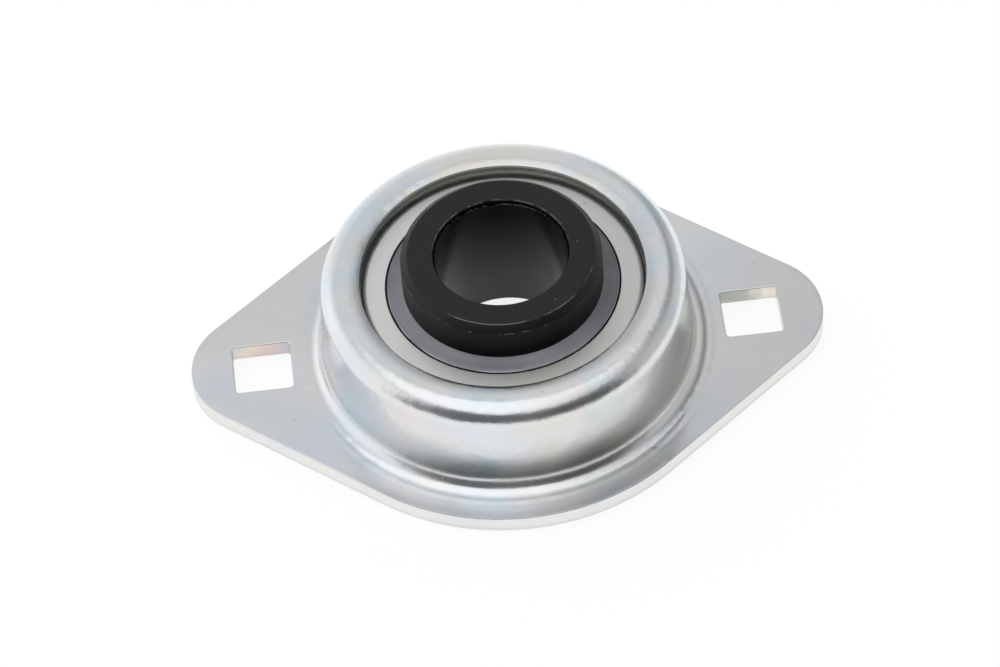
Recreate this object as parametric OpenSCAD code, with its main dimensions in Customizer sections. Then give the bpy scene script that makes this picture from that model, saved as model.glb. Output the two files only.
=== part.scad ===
// Two-bolt jackshaft bearing: a pressed sheet flange with a sealed ball bearing in its cup.
// The mounting face lies on z = 0, the shaft axis is z and the two bolt holes lie on x.

/* [Flange plate] */
// Thickness of the pressed sheet
sheet_t = 2.66; // [2:0.02:3.2]
// Distance between the two bolt holes
hole_spacing = 71.5; // [69:0.5:80]
// Side of each square bolt hole
hole_side = 8.4; // [6:0.1:9.4]
// Corner radius of the square holes
hole_corner_r = 0.6; // [0.4:0.1:1.5]
// Radius of the rounded tips around the bolt holes
end_r = 10.4; // [9:0.1:14]
// Radius of the flange around the cup
mid_r = 32.8; // [31.5:0.1:36]

/* [Cup] */
// Outside fillet between the flange and the cup wall
base_r = 2.4; // [2:0.1:4.5]
// Flare of the cup wall from the rim down to the flange
wall_flare = 0.85; // [0.2:0.05:1.5]
// Rounding of the cup's mouth on the mounting face
mouth_r = 5.5; // [4:0.1:6]
// Outside rounding of the rim
rim_r = 3; // [1.5:0.1:4]
// Inside rounding between the wall and the lip
cup_corner_r = 0.7; // [0.2:0.1:0.9]
// Gap between the shield and the edge of the lip
lip_gap = 0.25; // [0.1:0.05:1.5]
// Radius of the gentle rounding towards the edge of the lip
lip_round_r = 5; // [2:0.1:8]
// Width of that rounding on top of the lip
lip_round_w = 1.5; // [0.5:0.05:2]

/* [Bearing rings] */
// Outside diameter of the outer ring, pressed into the cup
outer_d = 47; // [42:0.5:49]
// Width of the outer ring
outer_w = 12; // [10.8:0.2:15]
// Depth of the outer ring's rear face inside the mounting face
rear_depth = 2.95; // [2:0.05:4]
// Corner radius of the outer ring
ring_corner_r = 1; // [0.9:0.1:1.5]
// Bore for the shaft
bore_d = 19.05; // [17:0.05:21]
// Gap between the two rings beside the ball grooves
land_gap = 4.68; // [4:0.02:5.4]
// Offset of the ball circle from the middle between the bore and the outside
pitch_shift = 0.25; // [-0.4:0.05:0.6]
// Height of the collar above the outer ring's front face
collar_ext = 7.4; // [5:0.05:14]
// Set-back of the inner ring from the mounting face
back_gap = 0.3; // [0.2:0.05:0.9]
// Chamfer round the top of the collar
collar_chamfer = 1; // [0.3:0.1:2]
// Chamfer round the rear end of the inner ring
back_chamfer = 0.5; // [0.2:0.1:0.6]
// Width of the lead-in at each end of the bore
lead_w = 0.3; // [0.2:0.05:0.8]
// Depth of the lead-in at the collar's end of the bore
lead_h = 0.7; // [0.2:0.05:1.5]
// Depth of the lead-in at the rear end of the bore
back_lead_h = 0.3; // [0.2:0.05:1.5]

/* [Balls and cage] */
// Number of balls
ball_count = 8; // [6:1:9]
// Ball diameter
ball_d = 7.938; // [6.8:0.001:8.4]
// Play between a ball and the bottom of each groove
race_clear = 0.04; // [0.02:0.01:0.08]
// Groove radius as a share of the ball diameter
groove_ratio = 0.52; // [0.515:0.005:0.54]
// Thickness of the cage sheet
cage_t = 0.5; // [0.3:0.05:0.6]
// Width of the cage band
cage_w = 2.7; // [2:0.1:3.2]
// Play between a ball and its pocket
pocket_clear = 0.15; // [0.05:0.01:0.2]
// Diameter of the cage rivets
rivet_d = 1.2; // [0.8:0.1:1.4]
// Diameter of the rivet heads
rivet_head_d = 2; // [1.8:0.1:2.2]
// Height of the rivet heads
rivet_head_h = 0.5; // [0.3:0.05:0.7]

/* [Shields, seals and flingers] */
// Thickness of the shield sheet
shield_t = 0.5; // [0.3:0.05:0.6]
// Height of the shield above the face of the outer ring
shield_rise = 0.7; // [0.6:0.05:1.3]
// Rounding of the shield's shoulder
shield_round_r = 0.8; // [0.55:0.05:1]
// Depth of the seat for the shield in the outer ring
seat_w = 1.4; // [1:0.1:1.8]
// Step from the land of the outer ring to the shield seat
seat_step = 1.3; // [0.9:0.05:1.5]
// Gap between the shield's skirt and the wall of its seat
skirt_gap = 0.1; // [0.05:0.05:0.5]
// Thickness of the rubber seal
seal_t = 0.6; // [0.4:0.05:0.7]
// Drop of the seal web below the face of the outer ring
seal_drop = 0.15; // [0:0.01:0.3]
// Set-back of the seal from the shield's opening
seal_setback = 0.2; // [0.1:0.05:0.6]
// Running gap between the seal lip and the inner ring
lip_clear = 0.05; // [0.03:0.01:0.1]
// Width of the flinger from the inner ring to its rim
flinger_w = 2.29; // [1.6:0.01:2.6]
// Gap between the flinger and the shield's opening
flinger_gap = 0.22; // [0.15:0.01:0.6]
// Sheet thickness of the flinger
flinger_t = 0.6; // [0.4:0.05:0.7]
// Step from the shield up to the rim of the flinger
flinger_step = 0.05; // [0:0.05:0.3]
// Rise of the flinger from its rim to the collar
flinger_dish = 0.5; // [0.2:0.02:0.7]
// Length of the flinger's hub on the inner ring
flinger_hub_w = 1; // [0.8:0.05:1.4]

/* [Hidden] */
$fn = 96;
// Run of a cutter past the face that it cuts
overcut = 0.1;
// Set-in of straight edges, so that they cross the arcs they run into and don't only touch them
tangent_inset = 0.005;
// Run of the straight parts of the flange past its long axis
web_overlap = 2;

// Cup and flange
seat_r = outer_d / 2;
bore_r = bore_d / 2;
wall_r = seat_r + sheet_t;
seat_depth = rear_depth + outer_w;
cup_h = seat_depth + sheet_t;
flare_a = atan(wall_flare / (cup_h - sheet_t));
bend_z = sheet_t + base_r;
bend_set = base_r - tangent_inset;
bend_r = wall_r + (cup_h - bend_z) * tan(flare_a) + bend_set / cos(flare_a);
rim_x = wall_r + rim_r * tan(flare_a) - rim_r / cos(flare_a) + tangent_inset;
rim_z = cup_h - rim_r;
hole_x = hole_spacing / 2;
tangent_a = acos((mid_r - end_r) / hole_x);
tangent_l = hole_x * sin(tangent_a);

// Rings, measured from the plane of the balls
ring_z = rear_depth + outer_w / 2;
half_w = outer_w / 2;
ball_r = ball_d / 2;
pitch_r = (bore_r + seat_r) / 2 + pitch_shift;
inner_land_r = pitch_r - land_gap / 2;
outer_land_r = pitch_r + land_gap / 2;
groove_r = groove_ratio * ball_d;
inner_groove_r = pitch_r - ball_r - race_clear;
outer_groove_r = pitch_r + ball_r + race_clear;
inner_top = seat_depth + collar_ext;

// Shields, seals and flingers
shield_seat_r = outer_land_r + seat_step;
shield_seat_z = half_w - seat_w;
skirt_r = shield_seat_r - skirt_gap;
lip_r = skirt_r + lip_gap;
crown_z = half_w + shield_rise;
flinger_r = inner_land_r + flinger_w;
shield_open_r = flinger_r + flinger_gap;
flinger_rim_z = crown_z + flinger_step;
flinger_top_z = flinger_rim_z + flinger_dish;
seal_top_z = half_w - seal_drop;

// Cage
pocket_r = ball_r + pocket_clear;
cage_h = pocket_r + cage_t;
ball_step = 360 / ball_count;
rivet_dome_r = (pow(rivet_head_d / 2, 2) + pow(rivet_head_h, 2)) / (2 * rivet_head_h);

zinc = [0.78, 0.79, 0.8];
blackened = [0.16, 0.15, 0.15];
bright_steel = [0.7, 0.71, 0.73];

// What lies between a square corner at the origin and the arc that rounds it, below and left of it:
// taken off an outer edge, or added in an inner corner
module corner_piece(r) {
    difference() {
        translate([-r, -r]) square(r + overcut);
        translate([-r, -r]) circle(r);
    }
}

module in_ring() {
    translate([0, 0, ring_z]) children();
}

// The same piece on the front and, turned over, on the rear of the bearing
module front_side() {
    in_ring() children();
}

module rear_side() {
    in_ring() mirror([0, 0, 1]) children();
}

// Straight run of the flange from the round middle to one tip, a hair inside the common tangent
module flange_web() {
    edge_x = mid_r - tangent_inset;
    rotate(tangent_a) polygon([
        [-web_overlap, 0], [edge_x, 0],
        [edge_x, -tangent_l], [mid_r - end_r - web_overlap, -tangent_l]
    ]);
}

// Outline of the flange: a round middle, two round tips and the straight runs
module flange_outline() {
    circle(mid_r);
    for (side = [0, 1]) mirror([side, 0]) {
        translate([hole_x, 0]) circle(end_r);
        flange_web();
        mirror([0, 1]) flange_web();
    }
}

// Square hole with rounded corners
module hole_outline() {
    difference() {
        square(hole_side, center = true);
        for (a = [0 : 90 : 270])
            rotate(a) translate([hole_side / 2, hole_side / 2]) corner_piece(hole_corner_r);
    }
}

// What the rounding takes off between the flared wall and the top of the rim
module rim_cut() {
    reach = rim_r + overcut;
    difference() {
        polygon([
            [rim_x, rim_z], [rim_x, cup_h + overcut], [wall_r + overcut, cup_h + overcut],
            [rim_x + reach * cos(flare_a), rim_z + reach * sin(flare_a)]
        ]);
        translate([rim_x, rim_z]) circle(rim_r);
    }
}

// Section of the cup: mouth, bend, flared wall, rounded rim, lip and a strip lapped into the flange
module cup_section() {
    difference() {
        polygon([
            [seat_r, 0], [bend_r, 0], [bend_r, bend_z],
            [bend_r - bend_set * cos(flare_a), bend_z - bend_set * sin(flare_a)],
            [wall_r, cup_h], [lip_r, cup_h], [lip_r, seat_depth], [seat_r, seat_depth]
        ]);
        translate([bend_r, bend_z]) circle(base_r);
        translate([seat_r, 0]) rotate(180) corner_piece(mouth_r);
        rim_cut();
        translate([lip_r + lip_round_w - lip_round_r, cup_h]) mirror([1, 0]) corner_piece(lip_round_r);
    }
    translate([seat_r, seat_depth]) corner_piece(cup_corner_r);
    translate([bend_r, 0]) square([overcut, sheet_t]);
}

module flange_housing() {
    color(zinc) {
        linear_extrude(sheet_t) difference() {
            flange_outline();
            circle(bend_r);
            for (x = [-hole_x, hole_x]) translate([x, 0]) hole_outline();
        }
        rotate_extrude() cup_section();
    }
}

// Half of the outer ring's section, which is the same on both sides of the balls
module outer_ring_half_section() {
    difference() {
        polygon([
            [outer_land_r, 0], [outer_land_r, shield_seat_z], [shield_seat_r, shield_seat_z],
            [shield_seat_r, half_w], [seat_r, half_w], [seat_r, 0]
        ]);
        translate([outer_groove_r - groove_r, 0]) circle(groove_r);
        translate([seat_r, half_w]) corner_piece(ring_corner_r);
    }
}

module outer_ring() {
    color(bright_steel) in_ring() rotate_extrude() {
        outer_ring_half_section();
        mirror([0, 1]) outer_ring_half_section();
    }
}

module inner_ring() {
    color(blackened) rotate_extrude() difference() {
        polygon([
            [bore_r, back_gap + back_lead_h], [bore_r + lead_w, back_gap],
            [inner_land_r - back_chamfer, back_gap], [inner_land_r, back_gap + back_chamfer],
            [inner_land_r, inner_top - collar_chamfer], [inner_land_r - collar_chamfer, inner_top],
            [bore_r + lead_w, inner_top], [bore_r, inner_top - lead_h]
        ]);
        translate([inner_groove_r + groove_r, ring_z]) circle(groove_r);
    }
}

// Places one child at a ball, where place 1 lies on x
module at_ball(i) {
    rotate((i - 1) * ball_step) translate([pitch_r, 0, 0]) children();
}

module ball(i) {
    color(bright_steel) in_ring() at_ball(i) sphere(ball_r);
}

// One half of the ribbon cage: a flat band pressed into a round pocket over each ball
module cage_half() {
    color(bright_steel) difference() {
        intersection() {
            difference() {
                cylinder(r = pitch_r + cage_w / 2, h = cage_h);
                translate([0, 0, -overcut])
                    cylinder(r = pitch_r - cage_w / 2, h = cage_h + 2 * overcut);
            }
            union() {
                cylinder(r = pitch_r + cage_w, h = cage_t);
                for (i = [1 : ball_count]) at_ball(i) sphere(cage_h);
            }
        }
        for (i = [1 : ball_count]) {
            at_ball(i) sphere(pocket_r);
            at_ball(i + 0.5) translate([0, 0, -overcut])
                cylinder(d = rivet_d, h = cage_t + 2 * overcut);
        }
    }
}

// Upper half of a rivet's section: shank and domed head
module rivet_half_section() {
    square([rivet_d / 2, cage_t]);
    intersection() {
        translate([0, cage_t + rivet_head_h - rivet_dome_r]) circle(rivet_dome_r);
        translate([0, cage_t]) square([rivet_head_d / 2, rivet_head_h]);
    }
}

module cage_front() {
    front_side() cage_half();
}

module cage_rear() {
    rear_side() cage_half();
}

module cage_rivets() {
    color(bright_steel) in_ring() for (i = [1 : ball_count]) at_ball(i + 0.5) rotate_extrude() {
        rivet_half_section();
        mirror([0, 1]) rivet_half_section();
    }
}

// Shield: a foot in the seat of the outer ring, a skirt through the lip and a flat crown
module shield() {
    skirt_in_r = skirt_r - shield_t;
    color(zinc) rotate_extrude() difference() {
        union() {
            translate([skirt_in_r, shield_seat_z])
                square([shield_seat_r - skirt_in_r, shield_t]);
            translate([skirt_in_r, shield_seat_z])
                square([shield_t, crown_z - shield_seat_z]);
            translate([shield_open_r, crown_z - shield_t])
                square([skirt_r - shield_open_r, shield_t]);
        }
        translate([skirt_r, crown_z]) corner_piece(shield_round_r);
    }
}

module front_shield() {
    front_side() shield();
}

module rear_shield() {
    rear_side() shield();
}

// Rubber seal: a rim held under the shield's crown and a web in to the lip
module seal() {
    seal_in_r = inner_land_r + lip_clear;
    seal_out_r = skirt_r - shield_t;
    rim_in_r = shield_open_r + seal_setback;
    color("dimgray") rotate_extrude() {
        translate([rim_in_r, seal_top_z])
            square([seal_out_r - rim_in_r, crown_z - shield_t - seal_top_z]);
        translate([seal_in_r, seal_top_z - seal_t])
            square([seal_out_r - seal_in_r, seal_t]);
    }
}

module front_seal() {
    front_side() seal();
}

module rear_seal() {
    rear_side() seal();
}

// Flinger: a dished disc on a short hub that is pressed onto the inner ring
module flinger() {
    color("slategray") rotate_extrude() polygon([
        [inner_land_r, flinger_top_z - flinger_hub_w],
        [inner_land_r + flinger_t, flinger_top_z - flinger_hub_w],
        [inner_land_r + flinger_t, flinger_top_z - flinger_t],
        [flinger_r, flinger_rim_z - flinger_t],
        [flinger_r, flinger_rim_z],
        [inner_land_r, flinger_top_z]
    ]);
}

module front_flinger() {
    front_side() flinger();
}

module rear_flinger() {
    rear_side() flinger();
}

flange_housing();
outer_ring();
inner_ring();
for (i = [1 : ball_count]) ball(i);
cage_front();
cage_rear();
cage_rivets();
front_shield();
rear_shield();
front_seal();
rear_seal();
front_flinger();
rear_flinger();
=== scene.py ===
from math import acos, cos, pi, radians, sin

import bmesh
import bpy
from mathutils import Matrix, Vector


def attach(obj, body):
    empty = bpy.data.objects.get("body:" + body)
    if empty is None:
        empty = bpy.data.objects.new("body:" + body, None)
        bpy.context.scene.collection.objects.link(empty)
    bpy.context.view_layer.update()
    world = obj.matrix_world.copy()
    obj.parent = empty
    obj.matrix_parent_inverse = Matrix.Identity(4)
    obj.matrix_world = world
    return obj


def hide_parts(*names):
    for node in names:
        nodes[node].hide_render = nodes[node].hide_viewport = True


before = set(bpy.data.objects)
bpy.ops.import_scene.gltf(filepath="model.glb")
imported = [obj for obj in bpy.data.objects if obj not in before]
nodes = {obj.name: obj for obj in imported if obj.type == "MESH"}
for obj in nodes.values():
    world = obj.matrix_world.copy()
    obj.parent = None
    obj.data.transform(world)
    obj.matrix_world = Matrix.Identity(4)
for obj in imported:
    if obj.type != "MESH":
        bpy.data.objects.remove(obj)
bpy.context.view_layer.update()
mm = 0.001
tiny = 1e-7  # points nearer than this lie in one place, in m
scene = bpy.context.scene


class Wire:  # a node's output that takes part in sums
    def __init__(self, sheet, socket):
        self.sheet = sheet
        self.socket = socket

    def sum(self, kind, first, second):
        return self.sheet.sum(kind, first, second)

    def __add__(self, other):
        return self.sum("ADD", self, other)

    def __radd__(self, other):
        return self.sum("ADD", other, self)

    def __sub__(self, other):
        return self.sum("SUBTRACT", self, other)

    def __rsub__(self, other):
        return self.sum("SUBTRACT", other, self)

    def __mul__(self, other):
        return self.sum("MULTIPLY", self, other)

    def __rmul__(self, other):
        return self.sum("MULTIPLY", other, self)

    def __truediv__(self, other):
        return self.sum("DIVIDE", self, other)

    def __rtruediv__(self, other):
        return self.sum("DIVIDE", other, self)

    def __pow__(self, other):
        return self.sum("POWER", self, other)

    def __abs__(self):
        return self.sheet.node("ShaderNodeMath", {"operation": "ABSOLUTE"}, {0: self})


class Sheet:  # one node tree and the nodes that are put on it
    def __init__(self, tree):
        self.tree = tree
        tree.nodes.clear()

    def node(self, kind, settings=None, sockets=None, out=0):
        made = self.tree.nodes.new(kind)
        for key, value in (settings or {}).items():
            if key == "stops":
                ramp = made.color_ramp
                while len(ramp.elements) < len(value):
                    ramp.elements.new(0.5)
                for element, (place, colour) in zip(ramp.elements, value):
                    element.position = place
                    element.color = (*colour, 1)
            else:
                setattr(made, key, value)
        for key, value in (sockets or {}).items():
            if isinstance(value, Wire):
                self.tree.links.new(value.socket, made.inputs[key])
            else:
                made.inputs[key].default_value = value
        if out is None:
            return None
        if isinstance(out, tuple):
            return [Wire(self, made.outputs[i]) for i in out]
        return Wire(self, made.outputs[out])

    def sum(self, kind, first, second):
        return self.node("ShaderNodeMath", {"operation": kind}, {0: first, 1: second})

    def place(self):  # object coordinates, and height and radius in mm
        point = self.node("ShaderNodeTexCoord", out=3)
        x, y, z = self.node("ShaderNodeSeparateXYZ", None, {0: point}, (0, 1, 2))
        return point, x * 1000, y * 1000, z * 1000, (x * x + y * y) ** 0.5 * 1000

    def noise(self, point, scale, detail=2.0, rough=0.5, bend=0.0):
        return self.node("ShaderNodeTexNoise", None, {
            "Vector": point, "Scale": scale, "Detail": detail, "Roughness": rough, "Distortion": bend})

    def stretched(self, point, size, turn=(0, 0, 0), shift=(0, 0, 0)):
        return self.node("ShaderNodeMapping", None, {0: point, 1: shift, 2: turn, 3: size})

    def vector(self, x, y, z):
        return self.node("ShaderNodeCombineXYZ", None, {0: x, 1: y, 2: z})

    def step(self, value, low, high):  # smooth from 0 at low to 1 at high
        return self.node("ShaderNodeMapRange", {"interpolation_type": "SMOOTHSTEP"},
                         {0: value, 1: low, 2: high, 3: 0.0, 4: 1.0})

    def line(self, value, middle, half, soft):  # 1 near one value, 0 away from it
        return 1 - self.step(abs(value - middle), half, half + soft)

    def ramp(self, value, stops):
        return self.node("ShaderNodeValToRGB", {"stops": stops}, {0: value})

    def blend(self, share, first, second, kind="MIX"):
        first = first if isinstance(first, Wire) else (*first, 1)
        second = second if isinstance(second, Wire) else (*second, 1)
        return self.node("ShaderNodeMix", {"data_type": "RGBA", "blend_type": kind},
                         {0: share, 6: first, 7: second}, 2)

    def bump(self, height, strength, depth, under=None):
        sockets = {"Height": height, "Strength": strength, "Distance": depth}
        if under:
            sockets["Normal"] = under
        return self.node("ShaderNodeBump", None, sockets)

    def surface(self, sockets):
        shader = self.node("ShaderNodeBsdfPrincipled", None, sockets)
        self.node("ShaderNodeOutputMaterial", None, {0: shader}, None)


def newFinish(name):
    finish = bpy.data.materials.new(name)
    finish.use_nodes = True
    return finish, Sheet(finish.node_tree)


def around(sheet, x, y, z, r, lines, tall):  # a point whose noise runs as streaks down a round wall
    return sheet.vector(x / r * lines, y / r * lines, z * tall)


def section(corners):  # closed outline in the xz plane from (radius, height, rounding, segments)
    bm = bmesh.new()
    points = [bm.verts.new((c[0] * mm, 0, c[1] * mm)) for c in corners]
    bm.faces.new(points)
    for point, (*_, rounding, segments) in zip(points, corners):
        if rounding:
            bmesh.ops.bevel(bm, geom=[point], offset=rounding * mm, offset_type="OFFSET", affect="VERTICES",
                            segments=segments, profile=0.5, material=-1, clamp_overlap=False)
    bmesh.ops.delete(bm, geom=bm.faces[:], context="FACES_ONLY")
    return bm


def openAt(bm, radius):  # takes the straight end off a section, so that it joins what lies beyond
    ends = [e for e in bm.edges if all(abs(v.co.x - radius * mm) < tiny for v in e.verts)]
    for edge in ends:
        bm.edges.remove(edge)


def clean(bm):
    bmesh.ops.remove_doubles(bm, verts=bm.verts[:], dist=2 * tiny)
    bmesh.ops.recalc_face_normals(bm, faces=bm.faces[:])


def turned(bm, steps):
    bmesh.ops.spin(bm, geom=bm.verts[:] + bm.edges[:], cent=(0, 0, 0), axis=(0, 0, 1), angle=2 * pi,
                   steps=steps, use_merge=True)
    clean(bm)
    return bm


def carried(bm, moves):  # takes a section along (centre, angle, steps) arcs and (way, steps) straights
    last = bm.verts[:] + bm.edges[:]
    for move in moves:
        if len(move) == 3:
            cent, angle, steps, way = move[0], move[1], move[2], (0, 0, 0)
        else:
            cent, angle, steps, way = (0, 0, 0), 0, move[1], Vector(move[0]) * mm / move[1]
        last = bmesh.ops.spin(bm, geom=last, cent=Vector(cent) * mm, axis=(0, 0, 1), angle=angle, steps=steps,
                              dvec=way)["geom_last"]
    return bm


def joined(parts):
    whole = bmesh.new()
    for bm in parts:
        mesh = bpy.data.meshes.new("part")
        bm.to_mesh(mesh)
        whole.from_mesh(mesh)
        bm.free()
        bpy.data.meshes.remove(mesh)
    clean(whole)
    return whole


def addPiece(name, bm, body, node, finishes):
    for edge in bm.edges:
        edge.smooth = edge.calc_face_angle(0) < radians(40)
    for face in bm.faces:
        face.smooth = True
    mesh = bpy.data.meshes.new(name)
    bm.to_mesh(mesh)
    bm.free()
    piece = bpy.data.objects.new(name, mesh)
    scene.collection.objects.link(piece)
    for finish in finishes:
        mesh.materials.append(finish)
    flats = piece.modifiers.new("flats", "WEIGHTED_NORMAL")
    flats.keep_sharp = True
    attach(piece, body)
    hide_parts(node)
    print("piece:", name, len(mesh.polygons), "faces")
    return piece


flange = dict(sheet=2.66, holeX=35.75, holeSide=8.4, holeCorner=0.6, tip=10.4, middle=32.8,
              upperRound=0.15, lowerRound=0.12, strip=0.8, nearHole=5)
cup = dict(seat=23.5, wall=26.16, foot=27.01, lip=20.5525, lipEdge=17.38, lipBend=21.285, height=17.61,
           seatDepth=14.95, baseRound=2.264, rimRound=2.834, lipBendRound=0.66, lipRound=0.09,
           lipUnder=0.15, insideRound=0.7, underRound=5.5, joinsAt=30.2, steps=288)
zincLook = dict(
    blue=(0.765, 0.81, 0.865), plain=(0.825, 0.833, 0.868), straw=(0.845, 0.835, 0.825),
    pink=(0.85, 0.815, 0.84), bright=(0.93, 0.93, 0.92), pitted=(0.40, 0.40, 0.41),
    darkened=(0.30, 0.31, 0.32), dirtAndShade=(0.23, 0.25, 0.20), lipSoilAndShade=(0.34, 0.34, 0.345),
    stained=(0.62, 0.63, 0.42), warm=(0.66, 0.665, 0.625), shaded=(0.46, 0.47, 0.44),
    sheen=[(0.36, (0.90, 0.99, 1.0)), (0.5, (1, 1, 1)), (0.64, (1.0, 0.985, 0.925))],
    gloss=0.14, dull=0.10)
# how often each pattern of the plating repeats, per metre
zincScale = dict(
    film=42, pink=75, sheen=95, stain=140, wave=230, peel=420, pit=520, jag=720, grain=900, fine=2700)
# how much of each colour shows where it lies
zincShare = dict(
    pink=0.6, bright=0.35, pitted=0.45, right=0.22, left=0.13, border=0.55, dirtAndShade=0.9, lip=0.22,
    lipFront=0.36, stained=0.5, warm=0.04, wallShadeRight=0.6, shaded=0.45, sheen=0.15, wallSheen=0.6)
# how high each pattern stands in the bump
zincRelief = dict(
    grain=0.12, peel=0.5, draw=0.9, fine=0.3, jag=2.2, wave=0.8, wallWave=4.5, scratch=0.15, pit=0.4,
    strength=0.16, depth=0.00012)
# where the zones of the plated sheet begin and end, in mm
zincZone = dict(
    drawn=(30.5, 29.5), underRim=(16.2, 14.8), overFlat=(2.7, 4.4), rim=(12.5, 14.5), flatEnd=(2.7, 3.2),
    footTop=(8.5, 5.2), footEnd=(4.2, 5.2), lipRadius=(22.8, 21.0), lipTop=(16.5, 17.1), lipFront=(5, -17),
    gapRadius=(20.75, 20.62), gapTop=(17.3, 16.9), gapDeep=(15.9, 16.7), border=(30.3, 32.9),
    borderSide=(20, 27), flatShadeRight=(12, 42), darkerLeft=(10, -20), darkerBack=(-2, 8), wallShadeRight=(2, 28))


def zincPlate():
    finish, s = newFinish("zincPlate")
    look, zone, scale, share, relief = zincLook, zincZone, zincScale, zincShare, zincRelief
    point, x, y, z, r = s.place()
    film = s.noise(point, scale["film"], 3, 0.55, 0.6)
    grain = s.noise(point, scale["grain"], 3, 0.6)
    peel = s.noise(point, scale["peel"], 2, 0.5)
    colour = s.ramp(film, [(0.30, look["blue"]), (0.5, look["plain"]), (0.68, look["straw"])])
    pink = s.step(s.noise(point, scale["pink"], 2, 0.5), 0.52, 0.72)
    colour = s.blend(pink * share["pink"], colour, look["pink"])
    wall = s.step(r, *zone["drawn"])  # the drawn part, inside the flat flange
    side = wall * s.step(z, *zone["underRim"]) * s.step(z, *zone["overFlat"])
    draw = s.noise(around(s, x, y, z, r, 60, 0.02), 1.0, 3, 0.65)
    scuff = s.noise(s.stretched(point, (2600, 90, 90), (0, 0, 0.7)), 1.0, 2, 0.5)
    nick = s.noise(s.stretched(point, (70, 1900, 70), (0, 0, 0.35), (3, 5, 1)), 1.0, 2, 0.5)
    scratch = s.step(scuff, 0.70, 0.76) * 0.6 + s.step(nick, 0.70, 0.75) * 0.6
    colour = s.blend(scratch * share["bright"], colour, look["bright"])
    pit = s.step(s.noise(point, scale["pit"], 1, 0.4), 0.785, 0.81)
    colour = s.blend(pit * share["pitted"], colour, look["pitted"])
    flat = 1 - s.step(z, *zone["flatEnd"])
    right = flat * s.step(x - y * 0.6, *zone["flatShadeRight"])  # painted shade: the plate is darker towards the right tip
    colour = s.blend(right * share["right"], colour, look["darkened"])
    # darker towards the back on the left, and along the front and back arcs
    left = flat * s.step(x, *zone["darkerLeft"]) * s.step(y, *zone["darkerBack"])
    colour = s.blend(left * share["left"], colour, look["darkened"])
    border = flat * s.step(r, *zone["border"]) * s.step(abs(y), *zone["borderSide"])
    colour = s.blend(border * share["border"], colour, look["darkened"])
    deep = 0.4 + 0.6 * s.step(z, *zone["gapDeep"])
    gapSoilAndShade = s.step(r, *zone["gapRadius"]) * s.step(z, *zone["gapTop"]) * deep  # painted shade and soiling down the gap between lip and shield
    colour = s.blend(gapSoilAndShade * share["dirtAndShade"], colour, look["dirtAndShade"])
    # painted shade with some soiling on the lip's top, heavier at the front
    lip = s.step(r, *zone["lipRadius"]) * s.step(z, *zone["lipTop"])
    lipSoilAndShade = share["lip"] + share["lipFront"] * s.step(y, *zone["lipFront"])
    colour = s.blend(lip * lipSoilAndShade, colour, look["lipSoilAndShade"])
    stain = lip * s.step(s.noise(point, scale["stain"], 2, 0.5), 0.54, 0.66)
    colour = s.blend(stain * share["stained"], colour, look["stained"])
    foot = side * s.step(z, *zone["footTop"]) * s.step(z, *zone["footEnd"])
    warmthAndShade = share["warm"] + share["wallShadeRight"] * s.step(x, *zone["wallShadeRight"])
    colour = s.blend(side * warmthAndShade, colour, look["warm"])  # a warmer tint over the wall, with painted shade making it darker to the right
    colour = s.blend(foot * share["shaded"], colour, look["shaded"])
    tint = s.ramp(s.noise(point, scale["sheen"], 2, 0.5, 0.8), look["sheen"])
    colour = s.blend(share["sheen"] + wall * share["wallSheen"], colour, tint, "MULTIPLY")
    rim = wall * s.step(z, *zone["rim"])
    fine = s.noise(point, scale["fine"], 2, 0.6)
    jag = s.noise(point, scale["jag"], 3, 0.6)
    wave = s.noise(point, scale["wave"], 2, 0.5)
    rough = (look["gloss"] + look["dull"] * s.step(film, 0.35, 0.7) + grain * 0.05 + scratch * 0.12
             + gapSoilAndShade * 0.2 + side * 0.07 + rim * 0.04)
    height = (grain * relief["grain"] + peel * relief["peel"] + draw * side * relief["draw"]
              + (fine * relief["fine"] + jag * relief["jag"]) * rim
              + wave * (wall * relief["wallWave"] + relief["wave"])
              - scratch * relief["scratch"] - pit * relief["pit"])
    s.surface({"Base Color": colour, "Metallic": 1.0, "Roughness": rough,
               "Normal": s.bump(height, relief["strength"], relief["depth"])})
    return finish


edgeLook = dict(
    outline=[(0.32, (0.80, 0.815, 0.83)), (0.5, (0.86, 0.855, 0.845)), (0.68, (0.87, 0.855, 0.825))],
    left=[(0.1, (0.60, 0.57, 0.63)), (0.45, (0.78, 0.62, 0.57)), (0.75, (0.80, 0.72, 0.60)),
          (0.95, (0.72, 0.70, 0.66))],
    right=[(0.1, (0.42, 0.445, 0.415)), (0.5, (0.50, 0.50, 0.475)), (0.8, (0.84, 0.80, 0.70))],
    torn=(0.74, 0.73, 0.72), tornFrom=(1.25, 0.85))


def outlineTint(s, film, x):
    return s.ramp(film, edgeLook["outline"])


def holeTint(s, film, x):  # the plating's colours run across each hole
    inner = flange["holeX"] - flange["holeSide"] / 2
    across = (abs(x) - inner) / flange["holeSide"] + (film - 0.5) * 0.9
    left, right = s.ramp(across, edgeLook["left"]), s.ramp(across, edgeLook["right"])
    return s.blend(s.step(x, -1, 1), left, right)


def punchedEdge(name, tinted, filmScale):  # the sheared edge of the sheet, plated over
    finish, s = newFinish(name)
    point, x, y, z, r = s.place()
    film = s.noise(point, filmScale, 3, 0.6, 1.2)
    colour = tinted(s, film, x)
    shear = s.noise(s.stretched(point, (1500, 1500, 110)), 1.0, 3, 0.65)
    torn = s.step(z + shear * 0.8, *edgeLook["tornFrom"])  # the lower part breaks off rough
    colour = s.blend(torn * 0.3, colour, edgeLook["torn"])
    rough = 0.26 + 0.16 * shear + 0.14 * torn
    s.surface({"Base Color": colour, "Metallic": 1.0, "Roughness": rough,
               "Normal": s.bump(shear + torn * 0.4, 0.35, 0.00012)})
    return finish


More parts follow.
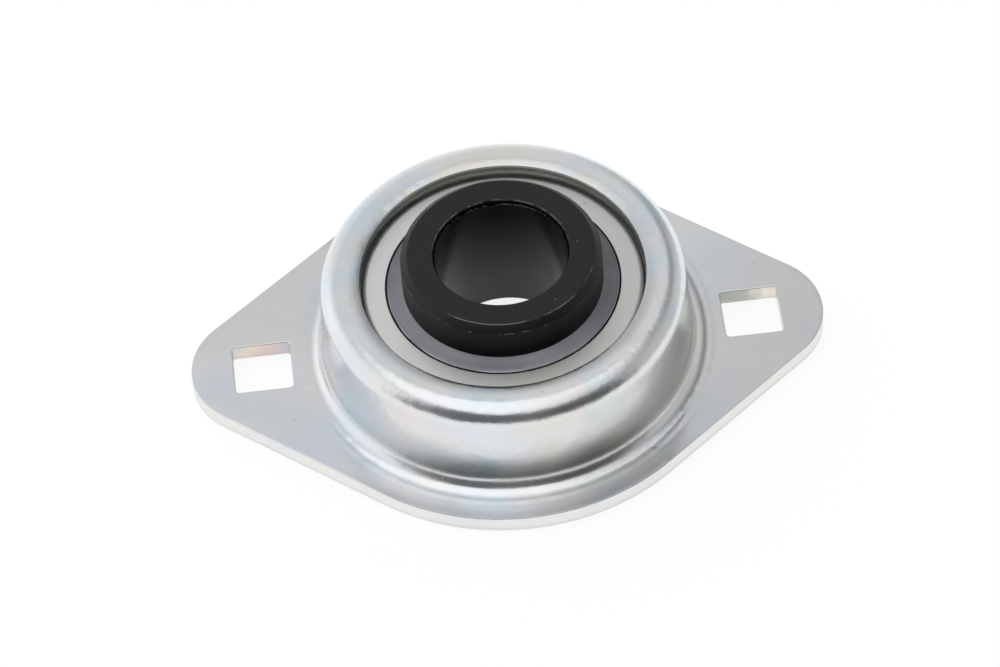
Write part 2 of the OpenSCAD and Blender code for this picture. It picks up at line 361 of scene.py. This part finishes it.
def plateSection(edge, way):  # the rounded edge of the sheet; way points into the sheet
    t = flange["sheet"]
    back = edge + way * flange["strip"]
    bm = section([(edge, 0, flange["lowerRound"], 3), (edge, t, flange["upperRound"], 8),
                  (back, t, 0, 0), (back, 0, 0, 0)])
    openAt(bm, back)
    return bm


def outlineEdge():
    hx, tip, middle = flange["holeX"], flange["tip"], flange["middle"]
    a = acos((middle - tip) / hx)
    run = hx * sin(a)
    bm = plateSection(tip, -1)
    start = Matrix.Translation((hx * mm, 0, 0)) @ Matrix.Rotation(-a, 4, "Z")
    bmesh.ops.transform(bm, verts=bm.verts[:], matrix=start)
    moves = []
    for b in (0, pi):
        moves += [((hx * cos(b), 0, 0), 2 * a, 44), ((-sin(b + a) * run, cos(b + a) * run, 0), 12),
                  ((0, 0, 0), pi - 2 * a, 60), ((-sin(b - a) * -run, cos(b - a) * -run, 0), 12)]
    return carried(bm, moves)


def holeEdge(x):
    half = flange["holeSide"] / 2
    inset = half - flange["holeCorner"]
    bm = plateSection(half, 1)
    bmesh.ops.translate(bm, verts=bm.verts[:], vec=(x * mm, -inset * mm, 0))
    moves = []
    for k in range(4):
        b = k * pi / 2
        moves += [((-sin(b) * 2 * inset, cos(b) * 2 * inset, 0), 4),
                  ((x + (cos(b) - sin(b)) * inset, (cos(b) + sin(b)) * inset, 0), pi / 2, 8)]
    return carried(bm, moves)


def cupShell():
    t, c = flange["sheet"], cup
    bm = section([(c["joinsAt"], t, 0, 0), (c["foot"], t, c["baseRound"], 14),
                  (c["wall"], c["height"], c["rimRound"], 16),
                  (c["lipBend"], c["height"], c["lipBendRound"], 8),
                  (c["lip"], c["lipEdge"], c["lipRound"], 4), (c["lip"], c["seatDepth"], c["lipUnder"], 3),
                  (c["seat"], c["seatDepth"], c["insideRound"], 6), (c["seat"], 0, c["underRound"], 14),
                  (c["joinsAt"], 0, 0, 0)])
    openAt(bm, c["joinsAt"])
    return turned(bm, c["steps"])


def housing():
    bm = joined([cupShell(), outlineEdge(), holeEdge(flange["holeX"]), holeEdge(-flange["holeX"])])
    for level in (0, flange["sheet"]):  # the flat faces between the edges
        rims = [e for e in bm.edges if e.is_boundary]
        loops = [e for e in rims if all(abs(v.co.z - level * mm) < tiny for v in e.verts)]
        bmesh.ops.triangle_fill(bm, use_beauty=True, use_dissolve=False, edges=loops, normal=(0, 0, 1))
    clean(bm)
    for face in bm.faces:
        middle = face.calc_center_median()
        radius = Vector((middle.x, middle.y)).length
        if abs(face.normal.z) < 0.5 and radius > cup["joinsAt"] * mm and middle.z < flange["sheet"] * mm:
            fromHole = max(abs(abs(middle.x) - flange["holeX"] * mm), abs(middle.y))
            face.material_index = 2 if fromHole < flange["nearHole"] * mm else 1
    finishes = [zincPlate(), punchedEdge("punchedEdge", outlineTint, 70),
                punchedEdge("piercedEdge", holeTint, 190)]
    return addPiece("pressedHousing", bm, "housing", "flange_housing", finishes)


housing()

bearing = dict(middle=8.95, hub=14.4225, steps=256)  # what shields, flingers and collar share
shield = dict(sheet=0.5, opening=16.9325, skirt=20.3025, seat=20.4025, foot=4.6, crown=6.7,
              shoulder=0.8, edge=0.08, bend=0.12, footEdge=0.1)
shieldLook = dict(
    film=[(0.32, (0.785, 0.79, 0.79)), (0.5, (0.80, 0.79, 0.77)), (0.68, (0.815, 0.795, 0.75))],
    dull=(0.42, 0.42, 0.42), rust=(0.30, 0.20, 0.13), dirtAndShade=(0.19, 0.20, 0.175),
    shadeSide=(-20, 22), deep=(6.6, 5.95), skirt=(19.7, 20.1))


def shieldSteel():
    finish, s = newFinish("shieldSteel")
    point, x, y, z, r = s.place()
    film = s.noise(point, 60, 3, 0.55, 0.5)
    grain = s.noise(point, 1300, 3, 0.6)
    ring = s.noise(s.vector(r * 9, z * 9, film * 0.4), 1.0, 3, 0.7)  # faint turned lines
    colour = s.ramp(film, shieldLook["film"])
    # painted shade: the shield darkens towards the right
    colour = s.blend(s.step(x + y * 0.3, *shieldLook["shadeSide"]) * 0.30, colour, shieldLook["dull"])
    spot = s.step(s.noise(point, 640, 1, 0.4), 0.785, 0.81)
    colour = s.blend(spot * 0.8, colour, shieldLook["rust"])
    depth = abs(z - bearing["middle"])
    deep = s.step(depth, *shieldLook["deep"]) * s.step(r, *shieldLook["skirt"])  # painted shade and soiling down the skirt, under the lip
    colour = s.blend(deep * 0.85, colour, shieldLook["dirtAndShade"])
    rough = 0.38 + 0.12 * grain + 0.06 * ring
    s.surface({"Base Color": colour, "Metallic": 1.0, "Roughness": rough,
               "Normal": s.bump(ring * 0.6 + grain * 0.5, 0.12, 0.00008)})
    return finish


def shieldPiece(name, node, side):
    s = shield
    t, inner = s["sheet"], s["skirt"] - s["sheet"]
    bm = section([(s["opening"], s["crown"] - t, s["edge"], 3), (inner, s["crown"] - t, s["bend"], 3),
                  (inner, s["foot"], s["footEdge"], 3), (s["seat"], s["foot"], s["footEdge"], 3),
                  (s["seat"], s["foot"] + t, s["footEdge"], 3), (s["skirt"], s["foot"] + t, s["bend"], 3),
                  (s["skirt"], s["crown"], s["shoulder"], 10),
                  (s["opening"], s["crown"], s["edge"], 4)])
    place = Matrix.Translation((0, 0, bearing["middle"] * mm)) @ Matrix.Diagonal((1, 1, side, 1))
    bmesh.ops.transform(bm, verts=bm.verts[:], matrix=place)
    return addPiece(name, turned(bm, bearing["steps"]), "housing", node, [shieldFinish])


shieldFinish = shieldSteel()
shieldPiece("frontShield", "front_shield", 1)
shieldPiece("rearShield", "rear_shield", -1)

flinger = dict(sheet=0.6, rim=16.7125, rimZ=6.70, topZ=7.25, hubLong=1.0, edge=0.12, hubEdge=0.1,
               dishR=15.5, dishZ=6.97, dishRound=0.5, swell=0.13)
flingerLook = dict(
    dark=(0.215, 0.207, 0.231), light=(0.285, 0.275, 0.304), edge=(0.55, 0.54, 0.56))


def flingerSteel():
    finish, s = newFinish("flingerSteel")
    point, x, y, z, r = s.place()
    cloud = s.noise(point, 70, 3, 0.55)
    grain = s.noise(point, 1500, 2, 0.6)
    ring = s.noise(s.vector(r * 14, 0.3, cloud * 0.3), 1.0, 3, 0.7)
    colour = s.blend(s.step(cloud, 0.3, 0.7), flingerLook["dark"], flingerLook["light"])
    speck = s.step(s.noise(point, 1500, 1, 0.4), 0.775, 0.80) * s.step(cloud, 0.45, 0.6)
    worn = s.line(r, flinger["rim"] - 0.06, 0.05, 0.09) * s.step(s.noise(point, 240, 2), 0.35, 0.6)
    colour = s.blend(worn * 0.7 + speck, colour, flingerLook["edge"])
    rough = 0.28 + 0.12 * grain + 0.06 * ring
    s.surface({"Base Color": colour, "Metallic": 1.0, "Roughness": rough,
               "Normal": s.bump(ring + grain * 0.4, 0.10, 0.00008)})
    return finish


def flingerPiece(name, node, side):
    s = flinger
    t, hub = s["sheet"], bearing["hub"]
    bm = section([(hub, s["topZ"] - s["hubLong"], 0, 0), (hub + t, s["topZ"] - s["hubLong"], s["hubEdge"], 3),
                  (hub + t, s["topZ"] - t, s["hubEdge"], 3), (s["rim"], s["rimZ"] - t, s["edge"], 3),
                  (s["rim"], s["rimZ"], s["edge"], 4), (s["dishR"], s["dishZ"], s["dishRound"], 6),
                  (hub, s["topZ"] + s["swell"], 0, 0)])
    place = Matrix.Translation((0, 0, bearing["middle"] * mm)) @ Matrix.Diagonal((1, 1, side, 1))
    bmesh.ops.transform(bm, verts=bm.verts[:], matrix=place)
    return addPiece(name, turned(bm, bearing["steps"]), "inner_race", node, [flingerFinish])


flingerFinish = flingerSteel()
flingerPiece("frontFlinger", "front_flinger", 1)
flingerPiece("rearFlinger", "rear_flinger", -1)

collar = dict(bore=9.525, back=0.3, top=22.35, chamfer=1.0, backChamfer=0.5, lead=0.3,
              leadDeep=0.7, backLeadDeep=0.3, edge=0.09, balls=16.7625, ballR=3.969, clear=0.04,
              grooveR=4.12776)
collarLook = dict(
    oxide=(0.0046, 0.0037, 0.0035), brown=(0.0105, 0.0058, 0.0056), bare=(0.34, 0.325, 0.31),
    lathe=(0.017, 0.013, 0.012), darkReflection=(0.003, 0.003, 0.003), tubeLong=(2, 22.2),
    boreReflection=[(0.05, (0.048, 0.045, 0.045)), (0.45, (0.026, 0.024, 0.024)), (0.95, (0.0024, 0.0021, 0.0021))],
    boreWall=(9.72, 9.6), leadWall=(9.85, 9.6))


def blackOxide():
    finish, s = newFinish("blackOxide")
    point, x, y, z, r = s.place()
    cloud = s.noise(point, 75, 3, 0.6, 0.4)
    grain = s.noise(point, 1700, 3, 0.65)
    rings = s.noise(s.vector(r * 16, z * 16, cloud * 0.5), 1.0, 3, 0.7)  # lathe marks
    face = s.step(z, collar["top"] - 1.1, collar["top"] - 0.05)  # the end face is browner
    browned = face * (0.55 + 0.45 * s.step(cloud, 0.35, 0.7))
    colour = s.blend(browned, collarLook["oxide"], collarLook["brown"])
    colour = s.blend(s.step(rings, 0.5, 0.75) * 0.25, colour, collarLook["lathe"])
    bore = s.step(r, *collarLook["boreWall"])  # smooth and mirror-like, with a painted reflection darker towards the top
    boreReflection = s.ramp(s.step(z, *collarLook["tubeLong"]), collarLook["boreReflection"])
    shade = s.step(abs(x) / r + cloud * 0.15 + z * 0.008, 0.80, 0.95)  # painted reflection: two darker streaks down the sides
    boreReflection = s.blend(shade * 0.6, boreReflection, collarLook["darkReflection"])
    colour = s.blend(bore, colour, boreReflection)
    ragged = s.noise(point, 620, 4, 0.75)
    chip = s.noise(point, 95, 2, 0.5)
    top = s.step(z, collar["top"] - 2.2, collar["top"] - 1.4)
    outerEdge = s.line(r, bearing["hub"] - collar["chamfer"], 0.02, 0.07)
    lowerEdge = s.line(r, bearing["hub"] - 0.02, 0.02, 0.05)
    lowerEdge = lowerEdge * s.line(z, collar["top"] - collar["chamfer"], 0.05, 0.12)
    leadEdge = s.line(r, collar["bore"] + collar["lead"], 0.02, 0.08)
    boreEdge = s.line(z, collar["top"] - collar["leadDeep"], 0.04, 0.12)
    boreEdge = boreEdge * s.step(r, *collarLook["leadWall"])
    worn = (outerEdge * s.step(chip + ragged * 0.4, 0.72, 0.84) + lowerEdge * s.step(ragged, 0.5, 0.62) * 0.6
            + (leadEdge * 0.8 + boreEdge) * s.step(ragged, 0.42, 0.56) * s.step(y, -2, 6)) * top
    speck = s.step(s.noise(point, 1250, 1, 0.4), 0.785, 0.81)
    bare = worn * 0.7 + speck * 0.4
    colour = s.blend(bare, colour, collarLook["bare"])
    rough = 0.36 + 0.10 * grain - 0.18 * bore * (1 - bare) + 0.05 * rings
    s.surface({"Base Color": colour, "Metallic": bore * (1 - bare), "Roughness": rough,
               "Normal": s.bump(rings * 0.7 + grain * 0.5, 0.14, 0.00008), "Specular IOR Level": 0.36})
    return finish


def collarPiece():
    c, out, middle = collar, bearing["hub"], bearing["middle"]
    grooveX = c["balls"] - c["ballR"] - c["clear"] + c["grooveR"]  # centre of the ball groove
    half = acos((grooveX - out) / c["grooveR"])
    bm = bmesh.new()
    corners = [(out, c["top"] - c["chamfer"]), (out - c["chamfer"], c["top"]),
               (c["bore"] + c["lead"], c["top"]), (c["bore"], c["top"] - c["leadDeep"]),
               (c["bore"], c["back"] + c["backLeadDeep"]), (c["bore"] + c["lead"], c["back"]),
               (out - c["backChamfer"], c["back"]), (out, c["back"] + c["backChamfer"])]
    points = [bm.verts.new((r * mm, 0, z * mm)) for r, z in corners]
    start = bm.verts.new((out * mm, 0, (middle - sin(half) * c["grooveR"]) * mm))
    arc = bmesh.ops.spin(bm, geom=[start], cent=(grooveX * mm, 0, middle * mm), axis=(0, 1, 0),
                         angle=2 * half, steps=24)["geom_last"]
    last = [v for v in arc if isinstance(v, bmesh.types.BMVert)][0]
    for first, second in zip(points + [start], points[1:] + [start]):
        if first != second:
            bm.edges.new((first, second))
    bm.edges.new((last, points[0]))
    bmesh.ops.contextual_create(bm, geom=bm.edges[:])
    bmesh.ops.bevel(bm, geom=points, offset=c["edge"] * mm, offset_type="OFFSET", affect="VERTICES",
                    segments=4, profile=0.5, material=-1, clamp_overlap=False)
    bmesh.ops.delete(bm, geom=bm.faces[:], context="FACES_ONLY")
    bm = turned(bm, bearing["steps"])
    return addPiece("innerRing", bm, "inner_race", "inner_ring", [blackOxide()])


collarPiece()


def bearingSteel(name, tone, rough, lines):  # ground and polished steel of the inner pieces
    finish, s = newFinish(name)
    point, x, y, z, r = s.place()
    cloud = s.noise(point, 110, 3, 0.55)
    grain = s.noise(point, 1600, 2, 0.6)
    ground = s.noise(s.vector(r * lines, z * lines, cloud * 0.4), 1.0, 3, 0.7)
    colour = s.blend(s.step(cloud, 0.3, 0.7), tone, tuple(c * 0.86 for c in tone))
    s.surface({"Base Color": colour, "Metallic": 1.0, "Roughness": rough + 0.10 * grain + 0.08 * ground,
               "Normal": s.bump(ground * 0.7 + grain * 0.3, 0.10, 0.00006)})
    return finish


def sealRubber():
    finish, s = newFinish("sealRubber")
    point, x, y, z, r = s.place()
    cloud = s.noise(point, 140, 3, 0.6)
    grain = s.noise(point, 2600, 2, 0.6)
    ring = s.noise(s.vector(r * 11, 0.2, 0.1), 1.0, 2, 0.6)
    colour = s.blend(cloud, (0.012, 0.012, 0.013), (0.030, 0.029, 0.029))
    s.surface({"Base Color": colour, "Roughness": 0.55 + 0.25 * grain,
               "Normal": s.bump(grain + ring * 0.5, 0.25, 0.00008)})
    return finish


nodeFinish = dict(
    outer_ring=bearingSteel("groundSteel", (0.20, 0.205, 0.20), 0.30, 12),
    front_seal=sealRubber())
nodeFinish["rear_seal"] = nodeFinish["front_seal"]
ballFinish = bearingSteel("ballSteel", (0.74, 0.745, 0.75), 0.06, 3)
cageFinish = bearingSteel("cageSteel", (0.60, 0.57, 0.52), 0.30, 6)
nodeFinish.update({f"ball_{i}": ballFinish for i in range(1, 9)})
nodeFinish.update({n: cageFinish for n in ("cage_front", "cage_rear", "cage_rivets")})
for name, finish in nodeFinish.items():
    nodes[name].material_slots[0].material = finish
print("inner pieces:", len(nodeFinish), "finished")

light = dict(
    sky=0.68, low=0.16, box=0.46, boxIn=32, boxOut=39, boxTilt=5, sides=0.30, right=0.42, front=0.80,
    frontFrom=(0.25, 0.60), sidesFrom=(0.45, 0.9), rightFrom=(0.10, 0.45), lowFrom=(0.2, 0.6),
    lowUnder=(0.70, 0.40))
floorLook = dict(half=3, drop=0.00004, paper=0.80, matt=0.24, glow=0.84)


def studio():
    world = bpy.data.worlds.new("studio")
    scene.world = world
    world.use_nodes = True
    s = Sheet(world.node_tree)
    way = s.node("ShaderNodeTexCoord", out=0)
    x, y, z = s.node("ShaderNodeSeparateXYZ", None, {0: way}, (0, 1, 2))
    tilt = radians(light["boxTilt"])
    middle = (0, -sin(tilt), cos(tilt))
    up = s.node("ShaderNodeVectorMath", {"operation": "DOT_PRODUCT"}, {0: way, 1: middle}, 1)
    box = s.step(up, cos(radians(light["boxOut"])), cos(radians(light["boxIn"])))  # wide softbox overhead
    dark = s.step(y * -1, *light["frontFrom"]) * (1 - box)  # unlit room on the camera's side
    sides = light["sides"] * s.step(abs(x), *light["sidesFrom"])
    sides = sides - light["right"] * s.step(x, *light["rightFrom"])
    low = light["low"] * s.step(y, *light["lowFrom"])  # paler towards the backdrop
    low = low * s.step(z, *light["lowUnder"])
    level = (light["sky"] + light["box"] * box + sides + low) * (1 - light["front"] * dark)
    seen = s.node("ShaderNodeLightPath", out=0)
    plain = s.node("ShaderNodeBackground", None, {0: (1, 1, 1, 1), 1: 1.0})
    lit = s.node("ShaderNodeBackground", None, {0: (0.985, 0.995, 1.0, 1), 1: level})
    mixed = s.node("ShaderNodeMixShader", None, {0: seen, 1: lit, 2: plain})
    s.node("ShaderNodeOutputWorld", None, {0: mixed}, None)


def paleFloor():
    bm = bmesh.new()
    bmesh.ops.create_grid(bm, x_segments=1, y_segments=1, size=floorLook["half"])
    bmesh.ops.translate(bm, verts=bm.verts[:], vec=(0, 0, -floorLook["drop"]))
    mesh = bpy.data.meshes.new("paleFloor")
    bm.to_mesh(mesh)
    bm.free()
    floor = bpy.data.objects.new("paleFloor", mesh)
    scene.collection.objects.link(floor)
    finish, s = newFinish("floorPaper")
    camera, glossy, through = s.node("ShaderNodeLightPath", out=(0, 3, 6))
    paper = s.node("ShaderNodeBsdfDiffuse", None, {0: (*[floorLook["paper"]] * 3, 1)})
    matt = s.node("ShaderNodeBsdfDiffuse", None, {0: (*[floorLook["matt"]] * 3, 1)})
    glow = s.node("ShaderNodeEmission", None, {0: (1, 1, 1, 1), 1: floorLook["glow"]})
    white = s.node("ShaderNodeAddShader", None, {0: matt, 1: glow})  # white where seen, with its shadow
    seen = s.sum("MAXIMUM", camera, s.sum("MAXIMUM", glossy, through))
    mixed = s.node("ShaderNodeMixShader", None, {0: seen, 1: paper, 2: white})
    s.node("ShaderNodeOutputMaterial", None, {0: mixed}, None)
    mesh.materials.append(finish)


studio()
paleFloor()
print("studio: world and floor")

shot = dict(
    focal=4962.19, azimuth=-2.671, elevation=50.585, roll=-4.474, distance=722.67, right=-1.218, up=2.508,
    sensor=36, wide=1000, near=0.01)


def photoCamera():
    a, e, roll = radians(shot["azimuth"]), radians(shot["elevation"]), radians(shot["roll"])
    back = Vector((sin(a) * cos(e), -cos(a) * cos(e), sin(e)))
    level = Vector((cos(a), sin(a), 0))
    upright = back.cross(level)
    across = level * cos(roll) + upright * sin(roll)
    upward = upright * cos(roll) - level * sin(roll)
    place = (back * shot["distance"] + across * shot["right"] + upward * shot["up"]) * mm
    lens = bpy.data.cameras.new("photoCamera")
    lens.sensor_width = shot["sensor"]
    lens.lens = shot["focal"] * shot["sensor"] / shot["wide"]
    lens.clip_start = shot["near"]
    camera = bpy.data.objects.new("photoCamera", lens)
    scene.collection.objects.link(camera)
    turn = Matrix((across, upward, back)).transposed().to_4x4()
    camera.matrix_world = Matrix.Translation(place) @ turn
    scene.camera = camera


photoCamera()
scene.view_settings.view_transform = "Standard"
